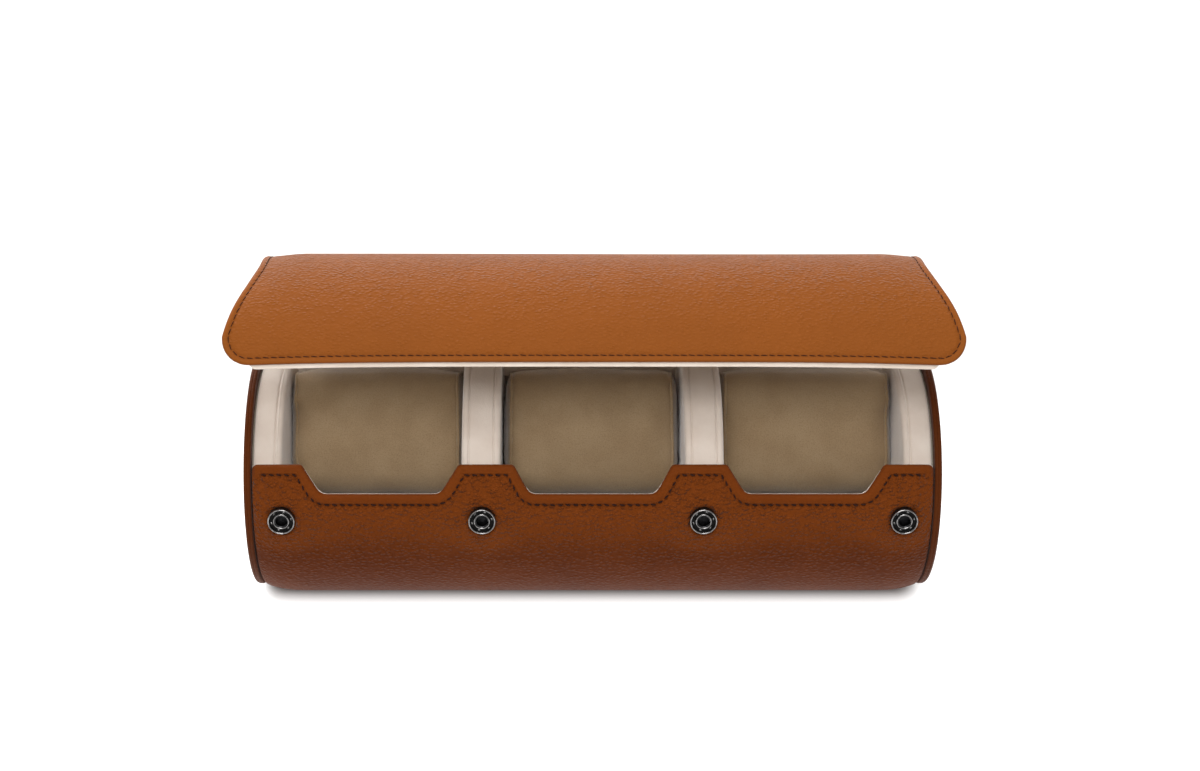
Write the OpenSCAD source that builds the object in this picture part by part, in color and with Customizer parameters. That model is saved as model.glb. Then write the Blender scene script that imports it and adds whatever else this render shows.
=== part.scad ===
// Travel case for three watches: a round shell of leather over board, closed by a
// snapped lid, with two padded dividers and three lift-out cushions.
// X runs along the roll, Y to the back and Z up. The origin is at the middle of
// the flat base. Angles in a section are measured from the back horizontal,
// through the top, to the front.

/* [Shell] */
// Outer radius at the middle of the roll
body_r = 46.5; // [44:0.5:52]
// Length of the shell between its end caps
shell_l = 246.8; // [242:0.2:270]
// Radius lost between the middle and each end
end_drop = 2.6; // [1.5:0.1:2.8]
// Length over which each end narrows
taper_l = 18; // [14:1:24]
// Width of the flat that the case stands on
base_w = 30; // [22:1:34]
// Thickness of the shell's leather
leather_t = 1.3; // [1.1:0.1:1.6]
// Thickness of the stiff board in the shell's wall
board_t = 1.2; // [1:0.1:1.8]
// Thickness of the suede lining
lining_t = 0.8; // [0.6:0.1:1.2]

/* [Front lip] */
// Angle of the lip above the front horizontal
lip_angle = 43; // [40:1:47]
// Depth of each scallop below the lip
scallop_depth = 11; // [8.5:0.5:12]
// Width of each scallop's floor
scallop_w = 46; // [42:0.5:48]
// Width of each scallop's sloping side
slope_w = 6.5; // [5:0.5:9]
// Length of the rounding between floor and slope
scallop_round = 4; // [2:0.5:6]

/* [End caps] */
// Thickness of an end cap's disc
cap_t = 2.7; // [2.3:0.1:4]
// Groove between the shell's end and the cap
cap_groove = 0.4; // [0.2:0.1:0.8]
// Depth of the board plug that holds a cap in the shell
plug_l = 3.6; // [3:0.2:6]
// Depth of an end pad, from the shell's end to its face
end_pad_t = 10.5; // [9:0.5:13]

/* [Dividers] */
// Distance of each divider's middle from the middle of the roll
divider_x = 40.5; // [39:0.5:46]
// Thickness of a divider over its suede
divider_t = 14; // [11:0.5:16]
// Thickness of a divider's board
divider_board_t = 3; // [2:0.5:4]
// Rounding of a pad's edge, from its face to the seam
pad_round = 2; // [1.4:0.1:3]
// Thickness of the suede on pads and cushions
suede_t = 0.8; // [0.6:0.1:1.2]
// Glue line between a pad's rim and the lining
pad_fit = 0.15; // [0.1:0.05:0.3]

/* [Cushions] */
// Angle of the way out for the cushions above the front horizontal
pull_angle = 40; // [38:1:44]
// How far a cushion's front lies in front of the roll's axis
cushion_front = 19; // [14:1:24]
// How far a cushion's flat back lies behind the roll's axis
cushion_back = 34; // [28:1:36]
// Gap between a cushion and the walls beside it
cushion_gap = 0.3; // [0.3:0.1:1]
// Gap between a cushion and the lining behind it
cushion_seat = 0.5; // [0.4:0.1:0.8]
// Gap between a cushion and the lip and lid edge that it passes
passing_gap = 0.7; // [0.5:0.1:1.5]

/* [Lid] */
// Angle of the hinge line above the back horizontal
hinge_angle = 20; // [16:1:24]
// Angle of the closed lid's front edge above the front horizontal
lid_front_angle = 6; // [3:1:8]
// Angle by which the lid stands open
lid_open = 45.5; // [43:0.5:55]
// Gap between the shell and the closed lid's lining
lid_gap = 1; // [0.8:0.1:1.6]
// Thickness of the lid's leather
lid_leather_t = 1.2; // [1:0.1:1.6]
// Thickness of the lid's board
lid_board_t = 1; // [0.8:0.1:1.5]
// Width of the lid at its hinge
lid_w = 241; // [236:1:264]
// Extra width on each side at the lid's front edge
flare = 10.8; // [5:0.2:12]
// Length behind the front edge over which the lid flares
flare_l = 50; // [40:1:56]
// Radius of the lid's front corners
corner_r = 10; // [6:0.5:13]
// How far the lid's board stays inside the leather's side edges
board_inset = 4; // [2:0.5:6]
// How far the lining shows past the leather's front edge
lining_show = 1.3; // [0.5:0.1:2]
// Length of the soft front flap, from the fold to the front edge
flap_l = 26; // [23:0.5:30]
// Length of bare leather at each side of a bending line
fold_l = 2; // [1.5:0.1:3]
// Length of bare leather at each side of the hinge line
hinge_l = 4; // [3.6:0.1:5]

/* [Snaps] */
// Angle of the snaps above the front horizontal
snap_angle = 18; // [16:0.5:19]
// Distance of the outer snaps from the shell's ends
snap_inset = 10.7; // [9:0.1:14]
// Diameter of a snap socket
socket_d = 9.8; // [9:0.1:11]
// Height of a snap socket above its seat
socket_h = 2.3; // [2.1:0.05:2.35]
// How far a socket's seat is pressed into the leather
socket_sink = 1; // [0.95:0.05:1.1]
// Diameter of the socket's bore
bore_d = 4.7; // [4.5:0.1:5]
// Diameter of the stud's neck
neck_d = 3.6; // [3.2:0.1:3.7]
// Diameter of the stud's head
head_d = 4.4; // [4.2:0.05:4.45]
// Diameter of the ring spring's wire
wire_d = 0.5; // [0.4:0.05:0.55]

/* [Hidden] */
$fn = 96;

// Colours
tan_leather = "#a5632f";
cream_suede = "#d6c5b9";
beige_suede = "#a8936e";
grey_board = "#8c8377";
pale_foam = "#e9e2cf";
gunmetal = "#4a4a4f";

// Shell
half_l = shell_l / 2;
axis_z = sqrt(pow(body_r, 2) - pow(base_w / 2, 2));
wall_t = leather_t + board_t + lining_t;
end_r = body_r - end_drop;
lining_r = body_r - wall_t;
taper_steps = 6;
taper_power = 3;
reach = 2 * body_r;
over = 1;

// Front lip: its edge and the middle line of the scallops
lip = 180 - lip_angle;
scallop_mid = lip + asin(scallop_depth / 2 / body_r);

// Room between the pads
pad_face = half_l - end_pad_t;
middle_room = 2 * divider_x - divider_t;
side_room = pad_face - divider_x - divider_t / 2;
side_x = (pad_face + divider_x + divider_t / 2) / 2;
compartments = [-side_x, 0, side_x];
plug_r = end_r - wall_t - pad_fit;
divider_r = lining_r - pad_fit;

// Lid radii, from the lining out
lid_lining_r = body_r + lid_gap;
lid_board_r = lid_lining_r + lining_t;
lid_leather_r = lid_board_r + lid_board_t;
lid_r = lid_leather_r + lid_leather_t;
flap_lining_r = lid_leather_r - lining_t;
hinge_r = lid_board_r;
fold_r = (flap_lining_r + lid_r) / 2;
edge = 180 - lid_front_angle;
per_mm = 180 / PI / lid_leather_r;
fold = edge - flap_l * per_mm;
shell_back = hinge_angle - hinge_l / body_r * 180 / PI;
lid_back = hinge_angle + hinge_l * per_mm;
flare_mid = edge - flare_l / 2 * per_mm;
flare_steps = 8;
hinge = hinge_r * [cos(hinge_angle), sin(hinge_angle)];

// Points of a section: on the closed case, and on the lid as it stands open
function polar(r, a) = r * [cos(a), sin(a)];
function turn(p, a) = [p[0] * cos(a) - p[1] * sin(a), p[0] * sin(a) + p[1] * cos(a)];
function opened(p) = hinge + turn(p - hinge, -lid_open);
// Height of a section's point across the cushions' way out
function across(p) = p[0] * sin(pull_angle) + p[1] * cos(pull_angle);

// Cushion: what it passes on its way out, and its sizes
skew = pull_angle - (180 - scallop_mid);
floor_depth = sqrt(pow(lining_r, 2) - pow(scallop_depth / 2, 2));
floor_level = -scallop_depth / 2 * cos(skew)
    - (skew > 0 ? floor_depth : sqrt(pow(body_r, 2) - pow(scallop_depth / 2, 2))) * sin(skew);
lining_edge = polar(flap_lining_r, edge + lining_show * per_mm);
cushion_low = floor_level + passing_gap;
cushion_high = across(opened(lining_edge)) - passing_gap;
cushion_w = min(middle_room, side_room) - 2 * cushion_gap;
cushion_r = lining_r - cushion_seat;
slope_angle = atan(scallop_depth / slope_w);
front_round = 8;

// Snaps
snap_a = 180 - snap_angle;
snap_x = half_l - snap_inset;
snaps = [-snap_x, -side_x / 2, side_x / 2, snap_x];
seat_r = body_r - socket_sink;
barrel_d = bore_d + 1.3;
board_out_r = body_r - leather_t;
board_in_r = board_out_r - board_t;
flange_t = board_t / 2;
flange_d = socket_d - 2.6;
post_t = lining_t / 2;
hole_fit = 0.1;
rim_w = 0.6;
ring_w = 1;
channel_h = socket_h - 0.9;
crimps = 6;
crimp_d = 0.7;
crimp_h = 0.3;
stud_base_t = 0.4;
stud_base_r = 3.5;
post_d = 2.4;
// Flat plates against the lid's curve, which they touch along two edges
stud_top = sqrt(pow(flap_lining_r, 2) - pow(stud_base_r, 2));
post_top = sqrt(pow(lid_leather_r, 2) - pow(flange_d / 2, 2));
spring_r = neck_d / 2 + 0.25 + wire_d / 2;
spring_at = seat_r + socket_h - 0.9;
head_top = spring_at - wire_d / 2 - 0.2;
head_l = 0.5;
head_tip = 0.4;

// ---------- forms shared by several pieces ----------

// Turns a profile of [radius, x] about the roll's axis, between two angles
module around(from = 0, to = 360) {
    rotate([0, 90, 0])
        rotate_extrude(start = from + 90, angle = to - from)
            children();
}

// Lifts what is built on the roll's axis to its height above the base
module on_axis() translate([0, 0, axis_z]) children();

// Stands a piece on the roll's axis at x, with its own Z along the radius at an angle
module radial(x, a) translate([x, 0, 0]) rotate([a - 90, 0, 0]) children();

// Swings a piece of the closed lid to where the lid stands open
module open_lid() {
    translate([0, hinge[0], hinge[1]])
        rotate([-lid_open, 0, 0])
            translate([0, -hinge[0], -hinge[1]])
                children();
}

// Everything above the flat base, less a depth
module above_base(depth) {
    translate([-half_l - 2 * over, -reach, depth - axis_z])
        cube([shell_l + 4 * over, 2 * reach, 2 * reach]);
}

// Half outline of the barrel-shaped roll, set in from its outer face by a depth
function station(i) = sign(i) * (half_l - taper_l * (1 - (abs(i) - 1) / taper_steps));
function narrowing(i) = end_drop * pow((abs(i) - 1) / taper_steps, taper_power);
function roll_outline(depth, past) = let (n = taper_steps + 1, r = end_r - depth) concat(
    [[0, -half_l - past], [r, -half_l - past]],
    [for (i = [-n:n]) if (i != 0) [body_r - depth - narrowing(i), station(i)]],
    [[r, half_l + past], [0, half_l + past]]);

module roll(depth, past = 0) {
    intersection() {
        around() polygon(roll_outline(depth, past));
        above_base(depth);
    }
}

// ---------- shell ----------

// Rounds the corner at p between the points a and b, over a length l on each side
function rounded(p, a, b, l) =
    let (from = p + l * (a - p) / norm(a - p), to = p + l * (b - p) / norm(b - p))
    [for (s = [0:0.25:1]) pow(1 - s, 2) * from + 2 * s * (1 - s) * p + pow(s, 2) * to];

module scallop() {
    foot = [scallop_w / 2, -scallop_depth / 2];
    past_lip = foot + 1.4 * [slope_w, scallop_depth];
    right = concat([past_lip], rounded(foot, past_lip, [0, foot[1]], scallop_round));
    left = [for (i = [len(right) - 1:-1:0]) [-right[i][0], right[i][1]]];
    linear_extrude(reach) polygon(concat(right, left));
}

// One layer of the shell's wall, with its mouth and scallops
module shell_layer(outer, inner) {
    difference() {
        roll(outer);
        roll(inner, over);
        around(shell_back, lip) translate([0, -half_l - over]) square([reach, shell_l + 2 * over]);
        for (x = compartments) radial(x, scallop_mid) scallop();
    }
}

module snap_hole(d, from, to) {
    for (x = snaps)
        radial(x, snap_a) translate([0, 0, from]) cylinder(d = d, h = to - from);
}

module shell_leather() {
    color(tan_leather) on_axis() difference() {
        shell_layer(0, leather_t);
        snap_hole(socket_d + 2 * hole_fit, seat_r, reach);
        snap_hole(barrel_d + 2 * hole_fit, board_in_r, reach);
    }
}

module shell_board() {
    color(grey_board) on_axis() difference() {
        shell_layer(leather_t, leather_t + board_t);
        snap_hole(barrel_d + 2 * hole_fit, lining_r, reach);
        snap_hole(flange_d + 2 * hole_fit, lining_r, board_in_r + flange_t);
    }
}

module shell_lining() {
    color(cream_suede) on_axis() shell_layer(leather_t + board_t, wall_t);
}

// ---------- end caps and pads ----------

// Quarter round from a pad's face at x = face to its seam
function edge_arc(r, face, inset, from, to, step) =
    [for (a = [from:step:to])
        [r - pad_round + (pad_round - inset) * cos(a), face - pad_round + (pad_round - inset) * sin(a)]];

// Suede over a pad's face, rolled over the edge to the seam
module face_panel(r, face) {
    polygon(concat([[0, face]], edge_arc(r, face, 0, 90, 0, -15),
        edge_arc(r, face, suede_t, 0, 90, 15), [[0, face - suede_t]]));
}

// Foam behind a face panel, back to x = back
module foam_block(r, face, back) {
    polygon(concat([[0, back], [r - suede_t, back]], edge_arc(r, face, suede_t, 0, 90, 15),
        [[0, face - suede_t]]));
}

// Suede strip around a pad's rim, between two seams
module rim_strip(r, from, to) translate([r - suede_t, from]) square([suede_t, to - from]);

// An end pad's profile points inward, so it is built with its face at +x and mirrored.
// side is 1 at the right end and -1 at the left end.
module at_end(side) on_axis() mirror([side > 0 ? 1 : 0, 0, 0]) translate([-half_l, 0, 0]) children();

module cap_leather(side) {
    color(tan_leather) at_end(side) around() difference() {
        translate([0, -cap_groove - cap_t]) square([end_r, cap_t]);
        translate([-over, -cap_groove - cap_t + leather_t])
            square([end_r - leather_t + over, cap_t]);
    }
}

module cap_board(side) {
    flange = cap_t - leather_t;
    color(grey_board) at_end(side) around() union() {
        translate([0, -cap_groove - flange]) square([end_r - leather_t, flange]);
        translate([0, -cap_groove - over]) square([plug_r - suede_t, cap_groove + over + plug_l]);
    }
}

module end_pad_foam(side) {
    color(pale_foam) at_end(side) around() foam_block(plug_r, end_pad_t, plug_l);
}

module end_pad_suede(side) {
    color(cream_suede) at_end(side) around() face_panel(plug_r, end_pad_t);
}

module end_pad_strip(side) {
    color(cream_suede) at_end(side) around() rim_strip(plug_r, 0, end_pad_t - pad_round);
}

module left_cap_leather() cap_leather(-1);
module left_cap_board() cap_board(-1);
module left_pad_foam() end_pad_foam(-1);
module left_pad_suede() end_pad_suede(-1);
module left_pad_strip() end_pad_strip(-1);
module right_cap_leather() cap_leather(1);
module right_cap_board() cap_board(1);
module right_pad_foam() end_pad_foam(1);
module right_pad_suede() end_pad_suede(1);
module right_pad_strip() end_pad_strip(1);

// ---------- dividers ----------

// A divider's profile turned about the axis and cut level with the flat base
module divider_form(side, depth) {
    on_axis() intersection() {
        translate([side * divider_x, 0, 0]) around() children();
        above_base(wall_t + pad_fit + depth);
    }
}

module divider_board(side) {
    color(grey_board) divider_form(side, suede_t)
        translate([0, -divider_board_t / 2]) square([divider_r - suede_t, divider_board_t]);
}

module divider_foam(side) {
    color(pale_foam) divider_form(side, suede_t)
        for (face = [0, 1]) mirror([0, face])
            foam_block(divider_r, divider_t / 2, divider_board_t / 2);
}

module divider_suede(side) {
    color(cream_suede) divider_form(side, 0)
        for (face = [0, 1]) mirror([0, face]) face_panel(divider_r, divider_t / 2);
}

module divider_strip(side) {
    seam = divider_t / 2 - pad_round;
    color(cream_suede) divider_form(side, 0) rim_strip(divider_r, -seam, seam);
}

module left_divider_board() divider_board(-1);
module left_divider_foam() divider_foam(-1);
module left_divider_suede() divider_suede(-1);
module left_divider_strip() divider_strip(-1);
module right_divider_board() divider_board(1);
module right_divider_foam() divider_foam(1);
module right_divider_suede() divider_suede(1);
module right_divider_strip() divider_strip(1);

// ---------- cushions ----------

// Section of a cushion: Y along the way out, Z across it, set in by a depth
module cushion_section(depth) {
    front = cushion_front - depth;
    low = cushion_low + depth;
    high = cushion_high - depth;
    round_r = front_round - depth;
    intersection() {
        circle(cushion_r - depth);
        union() {
            translate([-cushion_back + depth, low])
                square([front + cushion_back - depth - round_r, high - low]);
            translate([0, low + round_r]) square([front, high - low - 2 * round_r]);
            for (z = [low + round_r, high - round_r])
                translate([front - round_r, z]) circle(round_r);
        }
    }
}

// A cushion's solid, set in by a depth. Its lower corners slope as the scallops do.
module cushion_form(depth) {
    w = cushion_w - 2 * depth;
    difference() {
        translate([-w / 2, 0, 0]) rotate([90, 0, 90]) linear_extrude(w) cushion_section(depth);
        for (side = [0, 1]) mirror([side, 0, 0])
            translate([scallop_w / 2, 0, floor_level])
                rotate([0, -slope_angle, 0])
                    translate([-reach, -reach, passing_gap + scallop_round / 4 + depth - 2 * reach])
                        cube([2 * reach, 2 * reach, 2 * reach]);
    }
}

// Puts a cushion in its compartment, with its front toward the mouth
module in_compartment(i) {
    on_axis() translate([compartments[i], 0, 0])
        rotate([-pull_angle, 0, 0]) mirror([0, 1, 0]) children();
}

module cushion_foam(i) color(pale_foam) in_compartment(i) cushion_form(suede_t);

module cushion_cover(i) {
    color(beige_suede) in_compartment(i) difference() {
        cushion_form(0);
        cushion_form(suede_t);
    }
}

module left_cushion_foam() cushion_foam(0);
module left_cushion_cover() cushion_cover(0);
module middle_cushion_foam() cushion_foam(1);
module middle_cushion_cover() cushion_cover(1);
module right_cushion_foam() cushion_foam(2);
module right_cushion_cover() cushion_cover(2);

// ---------- lid ----------

// Half width of the lid at a distance behind its front edge
function ease(s) = 3 * pow(s, 2) - 2 * pow(s, 3);
function lid_half(s) = lid_w / 2 + flare * (1 - ease(min(s / flare_l, 1)));
// The same distance as seen square to the middle of the flare
function flat_y(s) = lid_leather_r * sin((s - flare_l / 2) * per_mm);
function lid_side(inset) = concat(
    [for (a = [-90:15:-15]) [lid_half(corner_r) - inset - corner_r * (1 - cos(a)),
        flat_y(corner_r * (1 + sin(a)))]],
    [for (i = [0:flare_steps]) let (s = corner_r + (flare_l - corner_r) * i / flare_steps)
        [lid_half(s) - inset, flat_y(s)]],
    [[lid_w / 2 - inset, reach]]);

// Prism with the lid's flared outline, square to the middle of the flare
module lid_outline(inset) {
    right = lid_side(inset);
    left = [for (i = [len(right) - 1:-1:0]) [-right[i][0], right[i][1]]];
    radial(0, flare_mid) translate([0, 0, -reach])
        linear_extrude(2 * reach) polygon(concat(right, left));
}

// A bent sheet between two radii and two angles of the closed lid
module sheet(inner, outer, from, to, w) {
    around(from, to) translate([inner, -w / 2]) square([outer - inner, w]);
}

// Leather between two angles of the closed lid, cut to the flared outline
module outer_leather(from, to) {
    intersection() {
        sheet(lid_leather_r, lid_r, from, to, 2 * reach + lid_w);
        lid_outline(0);
    }
}

module lid_leather() {
    color(tan_leather) on_axis() open_lid() outer_leather(lid_back, fold - fold_l * per_mm);
}

module lid_board() {
    color(grey_board) on_axis() open_lid() intersection() {
        sheet(lid_board_r, lid_leather_r, lid_back, fold - fold_l * per_mm, 2 * reach + lid_w);
        lid_outline(board_inset);
    }
}

module lid_lining() {
    color(cream_suede) on_axis() open_lid()
        sheet(lid_lining_r, lid_board_r, lid_back, fold - fold_l * per_mm, lid_w);
}

module fold_leather() {
    color(tan_leather) on_axis() open_lid()
        outer_leather(fold - fold_l * per_mm, fold + fold_l * per_mm);
}

module fold_lining() {
    color(cream_suede) on_axis() open_lid()
        sheet(flap_lining_r, lid_leather_r, fold - fold_l * per_mm, fold + fold_l * per_mm, lid_w);
}

module flap_leather() {
    color(tan_leather) on_axis() open_lid()
        outer_leather(fold + fold_l * per_mm, edge + 2 * lining_show * per_mm);
}

module flap_lining() {
    color(cream_suede) on_axis() open_lid() difference() {
        sheet(flap_lining_r, lid_leather_r, fold + fold_l * per_mm,
            edge + lining_show * per_mm, lid_w);
        snap_hole(post_d + 2 * hole_fit, body_r, reach);
        snap_hole(flange_d + 2 * hole_fit, post_top - post_t, reach);
    }
}

// ---------- hinge ----------

// A strip from the end of a shell layer to the start of a lid layer
module hinge_strip(shell_out, shell_in, lid_out, lid_in) {
    translate([-lid_w / 2, 0, 0]) rotate([90, 0, 90]) linear_extrude(lid_w)
        polygon([polar(shell_out, shell_back), opened(polar(lid_out, lid_back)),
            opened(polar(lid_in, lid_back)), polar(shell_in, shell_back)]);
}

module hinge_leather() {
    color(tan_leather) on_axis() hinge_strip(body_r, board_out_r, lid_r, lid_leather_r);
}

module hinge_lining() {
    color(cream_suede) on_axis() hinge_strip(board_in_r, lining_r, lid_board_r, lid_lining_r);
}

// ---------- snaps ----------

// Sets a turned profile of [radius, height] on each snap's axis
module at_snaps() for (x = snaps) radial(x, snap_a) rotate_extrude() children();

module snap_sockets() {
    top = seat_r + socket_h;
    channel = seat_r + channel_h;
    rim_r = socket_d / 2;
    bore_r = bore_d / 2;
    crimp_at = (bore_r + ring_w + rim_r - rim_w) / 2;
    color(gunmetal) on_axis() union() {
        at_snaps() difference() {
            union() {
                translate([bore_r, seat_r]) square([rim_r - rim_w / 2 - bore_r, channel_h]);
                translate([bore_r, channel]) square([ring_w, top - channel]);
                translate([rim_r - rim_w, seat_r]) square([rim_w, socket_h - rim_w]);
                translate([rim_r - rim_w / 2, top - rim_w]) circle(rim_w / 2, $fn = 24);
                translate([bore_r, board_in_r + flange_t]) square([barrel_d / 2 - bore_r, seat_r]);
            }
            translate([0, spring_at - wire_d / 2 - hole_fit])
                square([spring_r + wire_d / 2 + hole_fit, wire_d + 2 * hole_fit]);
            translate([0, top]) square([reach, reach]);
        }
        for (x = snaps, i = [1:crimps]) radial(x, snap_a)
            rotate([0, 0, i * 360 / crimps]) translate([crimp_at, 0, channel - crimp_h])
                cylinder(d = crimp_d, h = 2 * crimp_h);
    }
}

module snap_springs() {
    color("silver") on_axis() for (x = snaps) radial(x, snap_a)
        translate([0, 0, spring_at])
            rotate_extrude(angle = 330, $fn = 48) translate([spring_r, 0]) circle(wire_d / 2, $fn = 24);
}

module socket_posts() {
    color(gunmetal) on_axis() at_snaps() union() {
        translate([0, board_in_r]) square([flange_d / 2, flange_t]);
        translate([0, board_in_r]) square([bore_d / 2 - hole_fit, flange_t + 0.4]);
    }
}

module snap_studs() {
    neck_r = neck_d / 2;
    head_r = head_d / 2;
    color(gunmetal) on_axis() open_lid() at_snaps() difference() {
        union() {
            translate([0, stud_top - stud_base_t]) square([stud_base_r, stud_base_t]);
            translate([0, head_top]) square([neck_r, stud_top - head_top]);
            polygon([[0, head_top], [neck_r, head_top], [head_r, head_top - head_tip],
                [head_r, head_top - head_tip - head_l / 2],
                [neck_r - head_tip, head_top - head_l - head_tip], [0, head_top - head_l - head_tip]]);
        }
        translate([0, flap_lining_r - 1]) square([post_d / 2, reach]);
    }
}

module stud_posts() {
    color(gunmetal) on_axis() open_lid() at_snaps() union() {
        translate([0, post_top - post_t]) square([flange_d / 2, post_t]);
        translate([0, flap_lining_r - 1 + hole_fit])
            square([post_d / 2 - hole_fit, post_top - flap_lining_r + 1 - hole_fit]);
    }
}

shell_leather();
shell_board();
shell_lining();
left_cap_leather();
left_cap_board();
left_pad_foam();
left_pad_suede();
left_pad_strip();
right_cap_leather();
right_cap_board();
right_pad_foam();
right_pad_suede();
right_pad_strip();
left_divider_board();
left_divider_foam();
left_divider_suede();
left_divider_strip();
right_divider_board();
right_divider_foam();
right_divider_suede();
right_divider_strip();
left_cushion_foam();
left_cushion_cover();
middle_cushion_foam();
middle_cushion_cover();
right_cushion_foam();
right_cushion_cover();
hinge_leather();
hinge_lining();
lid_leather();
lid_board();
lid_lining();
fold_leather();
fold_lining();
flap_leather();
flap_lining();
snap_sockets();
snap_springs();
socket_posts();
snap_studs();
stud_posts();
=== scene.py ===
import math

import bmesh
import bpy
import numpy as np
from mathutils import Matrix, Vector
from mathutils.bvhtree import BVHTree


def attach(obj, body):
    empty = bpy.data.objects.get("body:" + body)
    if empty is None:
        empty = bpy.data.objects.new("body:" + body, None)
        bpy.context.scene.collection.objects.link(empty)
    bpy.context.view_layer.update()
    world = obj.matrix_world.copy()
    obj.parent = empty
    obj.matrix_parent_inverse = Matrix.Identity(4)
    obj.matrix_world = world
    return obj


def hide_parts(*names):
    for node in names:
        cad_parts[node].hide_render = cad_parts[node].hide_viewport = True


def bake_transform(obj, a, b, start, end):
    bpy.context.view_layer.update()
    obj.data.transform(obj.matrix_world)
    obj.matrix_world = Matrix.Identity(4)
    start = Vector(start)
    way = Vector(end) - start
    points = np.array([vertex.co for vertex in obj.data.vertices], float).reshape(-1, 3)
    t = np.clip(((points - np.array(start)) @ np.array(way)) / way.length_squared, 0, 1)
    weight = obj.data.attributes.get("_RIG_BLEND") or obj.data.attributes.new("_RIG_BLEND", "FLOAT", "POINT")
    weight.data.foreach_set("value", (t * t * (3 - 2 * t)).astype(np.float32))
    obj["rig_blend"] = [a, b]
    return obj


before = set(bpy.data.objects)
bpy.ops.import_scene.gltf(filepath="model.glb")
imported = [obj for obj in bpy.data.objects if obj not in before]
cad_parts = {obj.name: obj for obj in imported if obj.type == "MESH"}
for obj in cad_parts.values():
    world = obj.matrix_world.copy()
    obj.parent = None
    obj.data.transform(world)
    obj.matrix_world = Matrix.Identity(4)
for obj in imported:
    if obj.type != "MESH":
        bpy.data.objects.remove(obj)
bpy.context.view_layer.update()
scene = bpy.context.scene


# Shell leather: one hide that starts at the scalloped front lip, wraps the
# round body, and runs on over the hinge line into the foot of the lid. Its
# lip is turned over the board and sewn down, and its ends roll in to the caps.

AXIS_Z = 44.014  # the roll's axis above the base, in millimetres
BODY_R = 46.5
HALF_L = 123.4
END_DROP = 2.6
TAPER_L = 18.0
LIP = math.radians(137)  # section angles run from the back, over the top, to the front
LIP_RISE = 0.7  # the turned leather stands this far above the board's edge
LIP_CORNER = 2.2  # the lip's rounded ends
LIP_ROLL = 1.25  # the turned lip's edge radius
LID_ROLL = .65  # the same of the thinner edge round the lid
LIP_SEAM = 3.9  # the stitches, inside the edge of the lip
LID_SEAM = 2.3  # and inside the edge of the lid
STITCH = 2.8  # from one stitch to the next
SCALLOP_DEPTH = 11.0
# each scallop's middle, and its widths at its floor and its top
SCALLOPS = ((-76.8, 43.2, 56.6), (0, 45.4, 57.2), (76.8, 43.2, 56.6))
LID_CENTRE = (1.792, 37.313)  # of the lid's curve, back from the roll's axis and above it
LID_R = 50.5
LID_W = 241.0  # over the lid's sides, behind its flare
LID_EDGE = math.radians(128.5)  # the front edge of the lid as it stands open
PER_MM = math.radians(1.1622)  # the lid's curve turns by this for each millimetre
FOLD_AT = 26.0  # the bending line, behind the front edge
LID_BACK = 128.5  # the hinge strip's end, behind the front edge
SKIN_JOIN = 114.0  # where the lid's own piece takes over
SNAP_X = (-112.7, -40.1, 40.1, 112.7)
SNAP_AT = BODY_R * math.radians(25)
# rows and columns of a hide lie at these distances from its edge, closest where it is turned
BORDER = (0, .08, .3, .62, 1.0, 1.5, 1.9, 2.3, 2.7, 3.2, 3.6, 3.9, 4.3, 5.2, 6.4, 8, 10)


def ease(t):
    t = np.clip(t, 0, 1)
    return t * t * (3 - 2 * t)


def body_radius(x):
    """Outer radius of the barrel-shaped roll."""
    return BODY_R - END_DROP * np.clip((np.abs(x) - HALF_L + TAPER_L) / TAPER_L, 0, 1) ** 3


def unit(v):
    """Each row's direction."""
    return v / np.linalg.norm(v, axis=-1, keepdims=True)


def rounded(p, a, b, length):
    """Spots of a rounded corner at p, between the directions to a and b."""
    p, a, b = np.array(p), np.array(a), np.array(b)
    start, end = p + length * unit(a - p), p + length * unit(b - p)
    t = np.linspace(0, 1, 9)[:, None]
    return (1 - t) ** 2 * start + 2 * t * (1 - t) * p + t ** 2 * end


def lip_line(x):
    """How far the lip lies below its highest line, round the section."""
    low = 0
    for centre, floor, top in SCALLOPS:
        foot, head = (floor / 2, SCALLOP_DEPTH), (top / 2, 0)
        cut = np.vstack([(0, SCALLOP_DEPTH), rounded(foot, (0, SCALLOP_DEPTH), head, 2.4),
                         rounded(head, foot, (36, 0), 1.2), (36, 0)])
        low = np.maximum(low, np.interp(np.abs(x - centre), *cut.T))
    corner = np.clip(np.abs(x) - HALF_L + LIP_CORNER, 0, LIP_CORNER)
    return low - LIP_RISE + LIP_CORNER - np.sqrt(LIP_CORNER ** 2 - corner ** 2)


def bezier(a, b, c, d, count):
    t = np.linspace(0, 1, count)[:, None]
    return (1 - t) ** 3 * a + 3 * (1 - t) ** 2 * t * b + 3 * (1 - t) * t ** 2 * c + t ** 3 * d


def run_along(line):
    """Length along a line up to each of its spots."""
    return np.concatenate([[0], np.cumsum(np.hypot(*np.diff(line, axis=0).T))])


def spots_at(line, run, at):
    """The spots of a line at the given lengths along it."""
    return np.stack([np.interp(at, run, line[:, k]) for k in (0, 1)], 1)


def heading(line):
    """Direction of a line at each of its spots."""
    return unit(np.gradient(line, axis=0))


def polar(angle, r, centre=(0, 0)):
    """How far back from a centre and above it a spot of a circle lies."""
    return np.stack([centre[0] + r * np.cos(angle), centre[1] + r * np.sin(angle)], -1)


def metres(x, y, z):
    """A place in the frame, from millimetres across, back from the roll's axis and above it."""
    return np.stack([x, y, AXIS_Z + z], -1) / 1000


def hinge_bend(low, r_low, high, r_high, pull, count):
    """The bend from the shell's circle, at one angle, to the lid's circle at another."""
    start, end = polar(low, r_low), polar(high, r_high, LID_CENTRE)
    return bezier(start, start + polar(low + np.pi / 2, pull), end - polar(high + np.pi / 2, pull),
                  end, count)


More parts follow.
